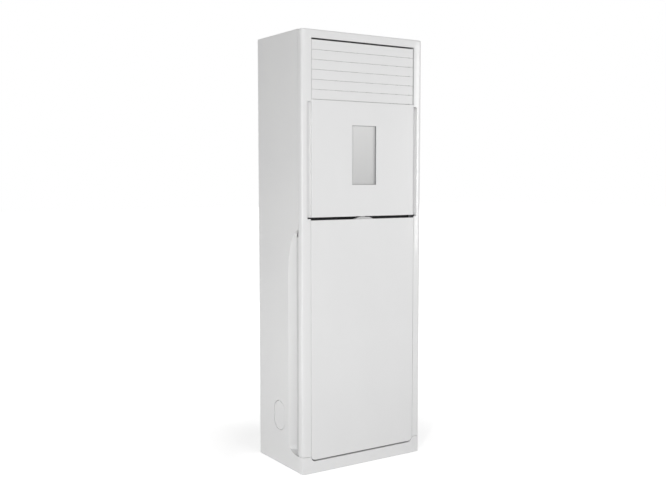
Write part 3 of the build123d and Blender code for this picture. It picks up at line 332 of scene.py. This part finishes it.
finishes = {
    "white_sheet": powder_coat(),
    "white_moulding": moulded_white(),
    "window_grey": window_lens(),
    "latch_grey": latch_plastic(),
    "zinc_steel": zinc_sheet(),
    "fin_aluminium": fin_aluminium(),
    "copper": copper_tube(),
    "brass": turned_brass(),
    "dark_plastic": plain_plastic("dark plastic", (0.03, 0.03, 0.033),
                                  (0.04, 0.04, 0.042), 0.5),
    "filter_net": plain_plastic("filter plastic", (0.09, 0.105, 0.12),
                                (0.07, 0.085, 0.10), 0.48),
    "duct_plastic": plain_plastic("duct plastic", (0.55, 0.55, 0.55),
                                  (0.52, 0.52, 0.525), 0.5),
    "foam": closed_cell_foam(),
    "pan_plastic": plain_plastic("pan plastic", (0.62, 0.62, 0.60),
                                 (0.58, 0.58, 0.56), 0.55, grain=0.003),
    "motor_steel": motor_paint(),
    "circuit_board": circuit_board(),
    "black_rubber": black_rubber(),
}

# ---- which finish each node has ----
slot_of = {part["node"]: part["material_slot"] for part in frame["record"]["subparts"]}

pale_grilles = ("right_intake_grille", "left_intake_grille")
grille_plastic = plain_plastic("grille plastic", (0.66, 0.66, 0.66),
                               (0.63, 0.63, 0.63), 0.42)


def finish_node(node):
    """Gives a node of the model its finish; the intake grilles are paler than their slot."""
    materials = nodes[node].data.materials
    materials.clear()
    materials.append(grille_plastic if node in pale_grilles else finishes[slot_of[node]])


def placed(name, data):
    """An object that is linked to the scene."""
    item = bpy.data.objects.new(name, data)
    bpy.context.scene.collection.objects.link(item)
    return item


def added_piece(name, mesh, slot, node):
    """A new piece that replaces nothing and rides with a node's body."""
    piece = placed(name, mesh)
    mesh.materials.clear()
    mesh.materials.append(finishes[slot])
    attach(piece, nodes[node]["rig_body"])
    return piece


def finished_piece(name, mesh, slot, node):
    """A new piece that stands for a node, with that node's body."""
    piece = added_piece(name, mesh, slot, node)
    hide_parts(node)


def plain_result(piece):
    """The evaluated mesh of an object whose modifiers are then taken off."""
    graph = bpy.context.evaluated_depsgraph_get()
    mesh = bpy.data.meshes.new_from_object(piece.evaluated_get(graph))
    piece.modifiers.clear()
    return mesh


def softened(shape, width):
    """Rounds an object's sharp edges, and lets its large faces set the shading."""
    for face in shape.data.polygons:
        face.use_smooth = True
    bevel = shape.modifiers.new("edges", "BEVEL")
    bevel.width = width
    bevel.segments = edge_steps
    bevel.limit_method = "ANGLE"
    bevel.angle_limit = smooth_limit
    bevel.use_clamp_overlap = False
    weights = shape.modifiers.new("shading", "WEIGHTED_NORMAL")
    weights.mode = "FACE_AREA"
    weights.weight = 80
    mesh = plain_result(shape)
    bpy.data.objects.remove(shape)
    return mesh


def rounded(node, width):
    """A copy of a node with its sharp edges rounded by a small radius."""
    mesh = bpy.data.meshes.new(node)
    work = bmesh.new()
    work.from_mesh(nodes[node].data)
    bmesh.ops.remove_doubles(work, verts=work.verts, dist=merge_reach)
    work.to_mesh(mesh)
    work.free()
    shape = placed(node + "_work", mesh)
    finished_piece(node + "_shell", softened(shape, width), slot_of[node], node)


# ---- pieces that repeat ----
def geometry_tree(name, inputs):
    """A Geometry Nodes tree with named inputs, ending in Realize Instances and Set Material."""
    tree = bpy.data.node_groups.new(name, "GeometryNodeTree")
    tree.interface.new_socket("Geometry", in_out="OUTPUT", socket_type="NodeSocketGeometry")
    tree.interface.new_socket("Material", in_out="INPUT", socket_type="NodeSocketMaterial")
    for label, kind in inputs:
        tree.interface.new_socket(label, in_out="INPUT", socket_type="NodeSocket" + kind)
    t = Tree(tree)
    return t, t.add("NodeGroupInput").outputs


def close_tree(t, given, geometry):
    """Ends a tree with plain geometry in the given material."""
    real = t.add("GeometryNodeRealizeInstances", {"Geometry": geometry}).outputs[0]
    painting = {"Geometry": real, "Material": given["Material"]}
    painted = t.add("GeometryNodeSetMaterial", painting).outputs[0]
    t.add("NodeGroupOutput", {"Geometry": painted})


def grown(name, t, values):
    """Runs a Geometry Nodes tree on an empty mesh and returns the plain result."""
    holder = placed(name, bpy.data.meshes.new(name))
    modifier = holder.modifiers.new(name, "NODES")
    modifier.node_group = t.tree
    for item in t.tree.interface.items_tree:
        if item.in_out == "INPUT" and item.name in values:
            modifier[item.identifier] = values[item.name]
    mesh = plain_result(holder)
    bpy.data.objects.remove(holder)
    return mesh


def row_tree(name):
    """Copies of one shape along a straight row."""
    inputs = [("Count", "Int"), ("Start", "Vector"), ("Step", "Vector"), ("Shape", "Object")]
    t, given = geometry_tree(name, inputs)
    line = {"Count": given["Count"], "Start Location": given["Start"], "Offset": given["Step"]}
    row = t.add("GeometryNodeMeshLine", line).outputs[0]
    shape = t.add("GeometryNodeObjectInfo", {"Object": given["Shape"]}).outputs["Geometry"]
    copies = t.add("GeometryNodeInstanceOnPoints", {"Points": row, "Instance": shape}).outputs[0]
    close_tree(t, given, copies)
    return t


def row_of(name, shape, count, start, step, slot):
    """A row of copies as one plain mesh; the shape drawn at the origin is used up."""
    values = {"Count": count, "Start": start, "Step": step, "Shape": shape,
              "Material": finishes[slot]}
    mesh = grown(name, row_tree(name), values)
    bpy.data.objects.remove(shape)
    return mesh


def joined(name, meshes):
    """Several meshes in one."""
    work = bmesh.new()
    for mesh in meshes:
        work.from_mesh(mesh)
    result = bpy.data.meshes.new(name)
    work.to_mesh(result)
    work.free()
    return result


def shape_object(name, work):
    """A helper object from a bmesh; what it is made into uses it up."""
    bmesh.ops.recalc_face_normals(work, faces=work.faces)
    mesh = bpy.data.meshes.new(name)
    work.to_mesh(mesh)
    work.free()
    return placed(name, mesh)


def add_box(work, low, high):
    """A box between two corners."""
    size = [b - a for a, b in zip(low, high)]
    middle = [(a + b) / 2 for a, b in zip(low, high)]
    place = Matrix.Translation(middle) @ Matrix.Diagonal((*size, 1))
    bmesh.ops.create_cube(work, size=1, matrix=place)


def screw_shape():
    """Pan head screw along +Y, its head's top at the origin, with a cross recess."""
    profile = [(0, 0), (screw_crown, 0), screw_shoulder, (screw_head, screw_rim),
               (screw_head, screw_seat), (screw_shank, screw_seat),
               (screw_shank, screw_length), (0, screw_length)]
    work = bmesh.new()
    points = [work.verts.new((r, y, 0)) for r, y in profile]
    edges = [work.edges.new(pair) for pair in zip(points, points[1:])]
    bmesh.ops.spin(work, geom=points + edges, cent=(0, 0, 0), axis=(0, 1, 0),
                   angle=2 * math.pi, steps=screw_steps, use_duplicate=False)
    bmesh.ops.remove_doubles(work, verts=work.verts, dist=merge_reach)
    screw = shape_object("screw", work)
    cutter = bmesh.new()
    slot = cross_width / 2
    for x, z in ((cross_reach, slot), (slot, cross_reach)):
        add_box(cutter, (-x, -cross_clear, -z), (x, cross_depth, z))
    cross = shape_object("cross", cutter)
    cut = screw.modifiers.new("cross", "BOOLEAN")
    cut.operation = "DIFFERENCE"
    cut.object = cross
    cut.solver = "EXACT"
    cut.use_self = True
    mesh = plain_result(screw)
    bpy.data.objects.remove(cross)
    screw.data = mesh
    return screw


def back_screws():
    """Two columns of screws that hold the back panel."""
    low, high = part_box("cabinet_screws")
    step = (high.z - low.z - 2 * screw_head) / (screw_count - 1)
    columns = []
    for x in (low.x + screw_head, high.x - screw_head):
        shape = screw_shape()
        shape.data.transform(Matrix.Rotation(math.pi, 4, "Z"))
        start = (x, high.y, low.z + screw_head)
        columns.append(row_of("screws", shape, screw_count, start, (0, 0, step), "zinc_steel"))
    mesh = joined("panel_screws", columns)
    finished_piece("panel_screws", mesh, "zinc_steel", "cabinet_screws")


def fin_shape():
    """One rippled fin on the outline of the fin pack's end face, at X 0."""
    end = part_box("coil_fins")[0].x + merge_reach
    points = [v.co for v in nodes["coil_fins"].data.vertices]
    ends = {(round(p.y, 6), round(p.z, 6)) for p in points if p.x < end}
    foot_front, head_front = min(ends), max(ends, key=lambda p: p[1])
    foot_rear, head_rear = min(ends, key=lambda p: p[1]), max(ends)
    work = bmesh.new()
    rows = []
    for i in range(fin_strips + 1):
        share = i / fin_strips
        x = fin_ripple * (1 if i % 2 else -1)
        foot = Vector((0, *foot_front)).lerp(Vector((0, *foot_rear)), share)
        head = Vector((0, *head_front)).lerp(Vector((0, *head_rear)), share)
        rows.append((work.verts.new((x, foot.y, foot.z)), work.verts.new((x, head.y, head.z))))
    for (a, b), (c, d) in zip(rows, rows[1:]):
        work.faces.new((a, b, d, c))
    bmesh.ops.solidify(work, geom=work.faces[:], thickness=fin_thickness)
    return shape_object("fin", work)


def coil_fin_pack():
    """The coil's fins, one beside the other between its end plates."""
    low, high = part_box("coil_fins")
    margin = fin_ripple + fin_thickness
    count = int((high.x - low.x - 2 * margin) / fin_spacing) + 1
    step = (high.x - low.x - 2 * margin) / (count - 1)
    start = (low.x + margin, 0, 0)
    mesh = row_of("fins", fin_shape(), count, start, (step, 0, 0), "fin_aluminium")
    finished_piece("coil_fin_pack", mesh, "fin_aluminium", "coil_fins")


def thread_shape(low, high):
    """One square thread of a filter's net."""
    work = bmesh.new()
    add_box(work, low, high)
    return shape_object("thread", work)


def filter_frame(low, high):
    """Ribbed border of a filter, its edges rounded, with its grip on the cabinet's inside."""
    if low.x < 0:
        x0, x1 = low.x, low.x + filter_frame_depth
        grip0, grip1 = x1 - bar_inset, high.x
    else:
        x0, x1 = high.x - filter_frame_depth, high.x
        grip0, grip1 = low.x, x0 + bar_inset
    near, far = low.y + filter_border, high.y - filter_border
    work = bmesh.new()
    add_box(work, (x0, low.y, low.z), (x1, near, high.z))
    add_box(work, (x0, far, low.z), (x1, high.y, high.z))
    for z0, z1 in ((low.z, low.z + filter_border), (high.z - filter_border, high.z)):
        add_box(work, (x0, near - filter_lap, z0), (x1, far + filter_lap, z1))
    for i in range(1, filter_bars + 1):
        z = low.z + (high.z - low.z) * i / (filter_bars + 1)
        add_box(work, (x0 + bar_sink, low.y + bar_inset, z - bar_height / 2),
                (x1 - bar_sink, high.y - bar_inset, z + bar_height / 2))
    middle = (low.y + high.y) / 2
    add_box(work, (grip0, middle - grip_width / 2, high.z - grip_low),
            (grip1, middle + grip_width / 2, high.z - grip_high))
    return softened(shape_object("filter frame", work), filter_edge)


def filter_piece(node):
    """A filter: its frame, and a woven net of upright and level threads."""
    low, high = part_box(node)
    net_sink = filter_frame_depth / 2
    x = low.x + net_sink if low.x < 0 else high.x - net_sink
    thick = thread_width / 2
    across = high.y - low.y - 2 * thread_edge
    along = high.z - low.z - 2 * thread_edge
    upright = thread_shape((-thick, -thick, 0), (0, thick, along))
    level = thread_shape((0, 0, -thick), (thick, across, thick))
    y, z = low.y + thread_edge, low.z + thread_edge
    upright_net = row_of("upright threads", upright, int(across / thread_spacing),
                         (x, y + thread_spacing / 2, z), (0, thread_spacing, 0), "filter_net")
    level_net = row_of("level threads", level, int(along / thread_spacing),
                       (x, y, z + thread_spacing / 2), (0, 0, thread_spacing), "filter_net")
    mesh = joined(node, [filter_frame(low, high), upright_net, level_net])
    finished_piece(node + "_net", mesh, "filter_net", node)


def seal_tape():
    """Dark foam strip on the chamber plate behind the finger gap, put there as painted shade to
    darken the gap.
    """
    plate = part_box("chamber_front_plate")[0].y
    gap_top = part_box("display_panel")[0].z
    panel_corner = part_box("lower_panel")[1]
    reach = panel_corner.x - tape_side
    work = bmesh.new()
    add_box(work, (-reach, plate - tape_thickness, panel_corner.z - tape_drop),
            (reach, plate, gap_top + tape_rise))
    mesh = softened(shape_object("seal tape", work), tape_edge)
    # the strip is painted shade, in the foam finish
    added_piece("seal_tape", mesh, "foam", "chamber_front_plate")


def window_gasket():
    """Grey strip around the lens on the walls of the window's recess: painted shade that darkens
    the recess walls.
    """
    low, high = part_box("display_window")
    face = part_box("display_panel")[0].y + shade_lining_inset
    t = shade_lining_thickness
    work = bmesh.new()
    for x in (low.x, high.x - t):
        add_box(work, (x, face, low.z), (x + t, low.y, high.z))
    for z in (low.z, high.z - t):
        add_box(work, (low.x + t, face, z), (high.x - t, low.y, z + t))
    mesh = softened(shape_object("gasket", work), shade_lining_edge)
    added_piece("window_gasket", mesh, "motor_steel", "display_panel")


# ---- dressing ----
for node in nodes:
    finish_node(node)

moulded = ["front_frame", "display_panel", "lower_panel", "base_skirt", "panel_latch",
           "display_window"]
moulded += [f"louver_{i}" for i in range(1, 7)]
for node in moulded:
    rounded(node, moulding_edge)
for node in ("right_side_panel", "left_side_panel", "back_panel", "top_cover"):
    rounded(node, sheet_edge)
back_screws()
coil_fin_pack()
for node in ("right_filter", "left_filter"):
    filter_piece(node)
# painted shade behind the finger gap
seal_tape()
# painted shade on the window recess's walls
window_gasket()


# ---- studio ----
camera_place = Vector((-2.164, -3.27, 1.2456))
camera_yaw = math.radians(33.027)
camera_pitch = math.radians(4.682)
camera_lens = 47.45
floor_lift = 0.55             # added to the floor's own brightness for the camera, near the cabinet
floor_far_lift = 1.0          # the same far from the cabinet, where the floor has no shadow
shadow_reach = (0.5, 1.6)     # from the first to the second distance the lift grows
floor_reach = 30.0
floor_drop = 0.001            # the floor lies this far under the cabinet
world_strength = 0.30
lamps = [                     # name, place, aim, size, watts
    ("side lamp", (-1.9, 0.1, 0.2), (-0.31, 0, 0.15), (1.0, 0.5), 4.7),
    ("corner strip", (-2.75, -2.75, 1.47), (-0.31, -0.18, 1.37), (0.12, 0.75), 42),
    ("low corner lamp", (-2.75, -2.75, 0.6), (-0.31, -0.18, 0.6), (1.2, 1.0), 11.2),
    ("right front lamp", (3.2, -2.6, 1.5), (0.2, -0.19, 1.0), (0.8, 1.8), 37.3),
    ("high front lamp", (-0.4, -4.2, 2.9), (0, -0.19, 1.3), (1.6, 0.8), 21.2),
]


def make_camera():
    """The camera that was fitted to the photo."""
    data = bpy.data.cameras.new("camera")
    data.lens = camera_lens
    data.sensor_width = 36.0
    data.clip_end = 100.0
    camera = placed("camera", data)
    level = math.cos(camera_pitch)
    direction = Vector((math.sin(camera_yaw) * level, math.cos(camera_yaw) * level,
                        -math.sin(camera_pitch)))
    camera.location = camera_place
    camera.rotation_euler = direction.to_track_quat("-Z", "Y").to_euler()
    bpy.context.scene.camera = camera


def make_floor():
    """Pale floor that looks white to the camera and keeps the cabinet's shadow."""
    work = bmesh.new()
    corners = [(-1, -1), (1, -1), (1, 1), (-1, 1)]
    work.faces.new([work.verts.new((x * floor_reach, y * floor_reach, 0)) for x, y in corners])
    mesh = bpy.data.meshes.new("floor")
    work.to_mesh(mesh)
    work.free()
    floor = placed("floor", mesh)
    floor.location.z = -floor_drop
    material = bpy.data.materials.new("pale floor")
    material.use_nodes = True
    t = Tree(material.node_tree)
    t.tree.nodes.clear()
    seen = t.add("ShaderNodeLightPath").outputs
    white = t.add("ShaderNodeBsdfDiffuse", {"Color": (0.86, 0.86, 0.86, 1)}).outputs[0]
    rays = {0: seen["Is Camera Ray"], 1: seen["Is Glossy Ray"]}
    glow_share = t.add("ShaderNodeMath", rays, operation="MAXIMUM").outputs[0]
    place = t.add("ShaderNodeTexCoord").outputs["Object"]
    distance = t.add("ShaderNodeVectorMath", {0: place}, operation="LENGTH").outputs["Value"]
    growth = {"Value": distance, "From Min": shadow_reach[0], "From Max": shadow_reach[1],
              "To Min": floor_lift, "To Max": floor_far_lift}
    level = t.add("ShaderNodeMapRange", growth).outputs["Result"]
    lift = t.add("ShaderNodeMath", {0: glow_share, 1: level}, operation="MULTIPLY").outputs[0]
    glow = t.add("ShaderNodeEmission", {"Color": (1, 1, 1, 1), "Strength": lift}).outputs[0]
    both = t.add("ShaderNodeAddShader", {0: white, 1: glow}).outputs[0]
    t.add("ShaderNodeOutputMaterial", {"Surface": both})
    mesh.materials.append(material)


def make_world(strength):
    """Even white surroundings: full white to the camera, to gloss and through glass."""
    world = bpy.data.worlds.new("studio")
    world.use_nodes = True
    bpy.context.scene.world = world
    t = Tree(world.node_tree)
    t.tree.nodes.clear()
    seen = t.add("ShaderNodeLightPath").outputs
    rays = {0: seen["Is Camera Ray"], 1: seen["Is Glossy Ray"]}
    first = t.add("ShaderNodeMath", rays, operation="MAXIMUM").outputs[0]
    rays = {0: first, 1: seen["Is Transmission Ray"]}
    white = t.add("ShaderNodeMath", rays, operation="MAXIMUM").outputs[0]
    growth = {"Value": white, "To Min": strength, "To Max": 1.0}
    level = t.add("ShaderNodeMapRange", growth).outputs["Result"]
    sky = t.add("ShaderNodeBackground", {"Color": (1, 1, 1, 1), "Strength": level}).outputs[0]
    t.add("ShaderNodeOutputWorld", {"Surface": sky})


def soft_box(name, place, aim, size, power):
    """Rectangular lamp that looks at a point."""
    data = bpy.data.lights.new(name, "AREA")
    data.shape = "RECTANGLE"
    data.size, data.size_y = size
    data.energy = power
    lamp = placed(name, data)
    lamp.location = place
    lamp.rotation_euler = (Vector(aim) - Vector(place)).to_track_quat("-Z", "Y").to_euler()


make_camera()
make_floor()
make_world(world_strength)
for lamp in lamps:
    soft_box(*lamp)

scene = bpy.context.scene
scene.view_settings.view_transform = "Standard"
